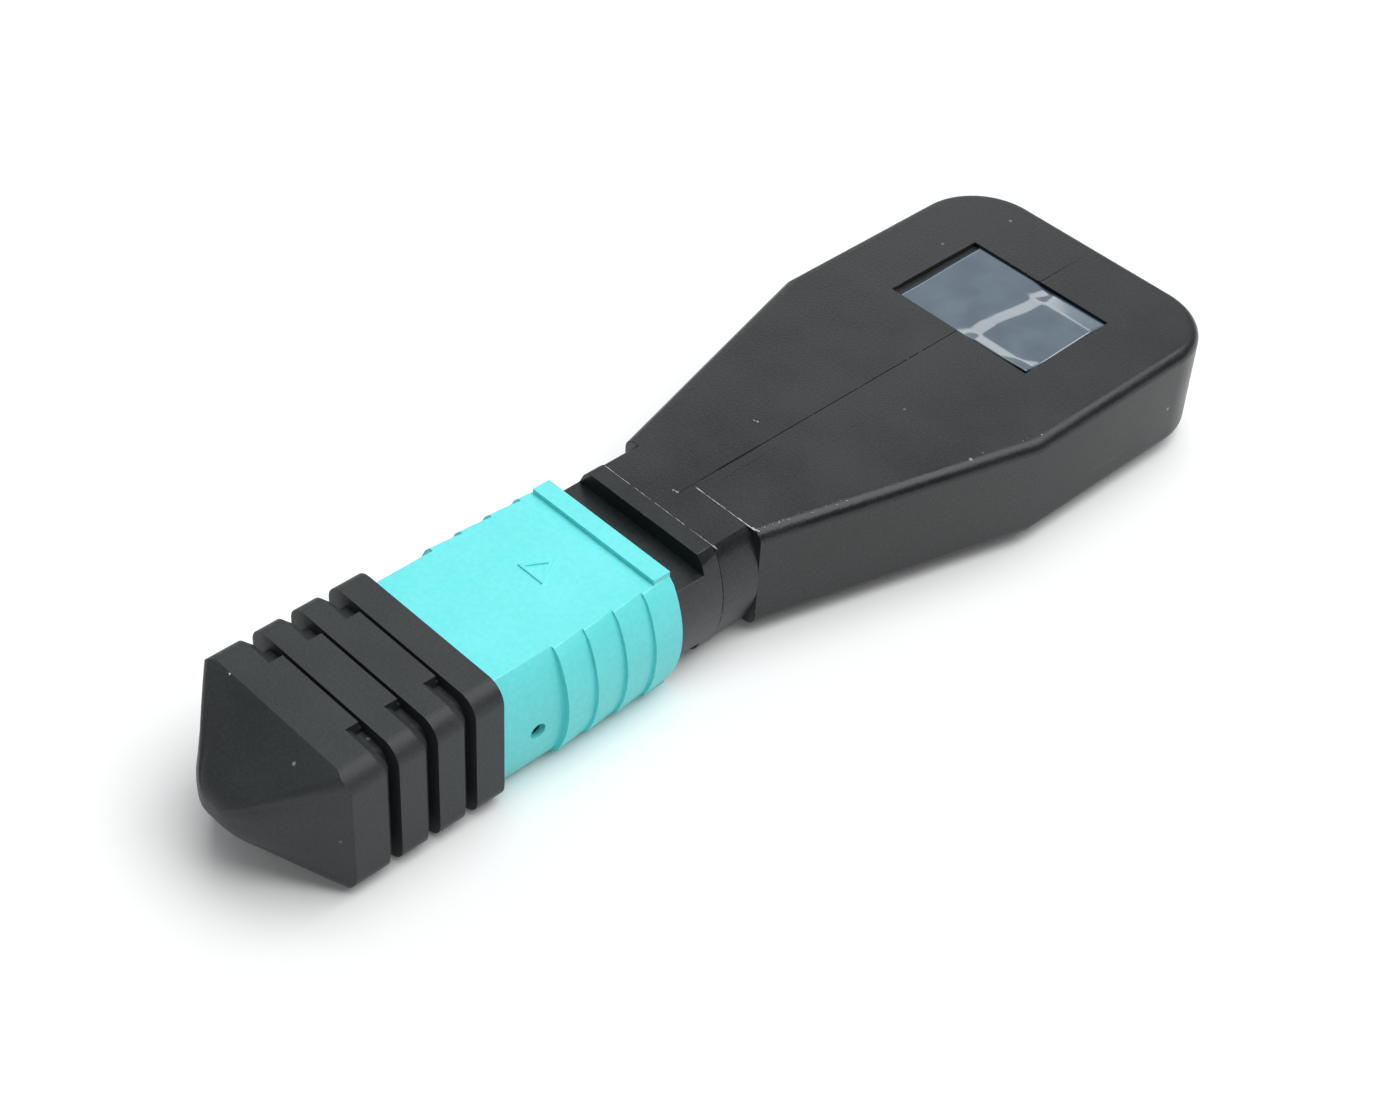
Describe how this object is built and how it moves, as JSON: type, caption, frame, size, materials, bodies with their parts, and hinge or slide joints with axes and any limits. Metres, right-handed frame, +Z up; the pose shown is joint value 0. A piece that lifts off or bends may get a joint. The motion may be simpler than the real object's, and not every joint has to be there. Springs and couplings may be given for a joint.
{
  "type": "fibre loopback plug",
  "caption": "Fibre loopback module: keyed multi-fibre push-pull plug with pull sleeve and dust cap, on a flat paddle housing that turns the fibres back.",
  "frame": {"origin": "middle of the footprint, on the surface under the pull sleeve's lower lip", "axes": "+Y along the plug from its nose to the paddle's rear end, +Z up through the face with the label recess and the key, +X across"},
  "size_m": [0.0208, 0.068, 0.0086],
  "materials": {
    "housing": "black spark-eroded polycarbonate moulding",
    "cap": "soft black thermoplastic moulding",
    "aqua": "aqua multimode-coloured moulding",
    "connector_black": "black glass-filled moulding",
    "label": "blank silver-grey film",
    "ferrule": "dark filled resin, polished at the face",
    "boot": "soft black rubber",
    "spring_steel": "drawn stainless spring wire",
    "fibre": "acrylate coated glass fibre"
  },
  "bodies": {
    "loopback_housing": {"housing_half_left": "housing", "housing_half_right": "housing", "label_film": "label", "spring_push": "connector_black", "inner_housing": "connector_black", "ferrule_spring": "spring_steel", "sleeve_spring_left": "spring_steel", "sleeve_spring_right": "spring_steel"},
    "sleeve": {"pull_sleeve": "aqua"},
    "cap": {"dust_cap": "cap"},
    "ferrule_group": {"mt_ferrule": "ferrule", "ferrule_boot": "boot", "pin_spacer": "connector_black", "fibre_loop_01": "fibre", "fibre_loop_02": "fibre", "fibre_loop_03": "fibre", "fibre_loop_04": "fibre", "fibre_loop_05": "fibre", "fibre_loop_06": "fibre", "fibre_loop_07": "fibre", "fibre_loop_08": "fibre", "fibre_loop_09": "fibre", "fibre_loop_10": "fibre", "fibre_loop_11": "fibre", "fibre_loop_12": "fibre"}
  },
  "joints": [
    {"name": "cap_slide", "type": "slide", "parent": "loopback_housing", "child": "cap", "axis": [0, -1, 0], "range_m": [0, 0.012]},
    {"name": "sleeve_slide", "type": "slide", "parent": "loopback_housing", "child": "sleeve", "axis": [0, 1, 0], "range_m": [0, 0.0018], "stiffness_N_per_m": 80, "springref_m": -0.0005, "deforming": ["sleeve_spring_left", "sleeve_spring_right"]},
    {"name": "ferrule_slide", "type": "slide", "parent": "loopback_housing", "child": "ferrule_group", "axis": [0, 1, 0], "range_m": [0, 0.0008], "stiffness_N_per_m": 60, "springref_m": -0.0005, "deforming": ["ferrule_spring"]}
  ]
}
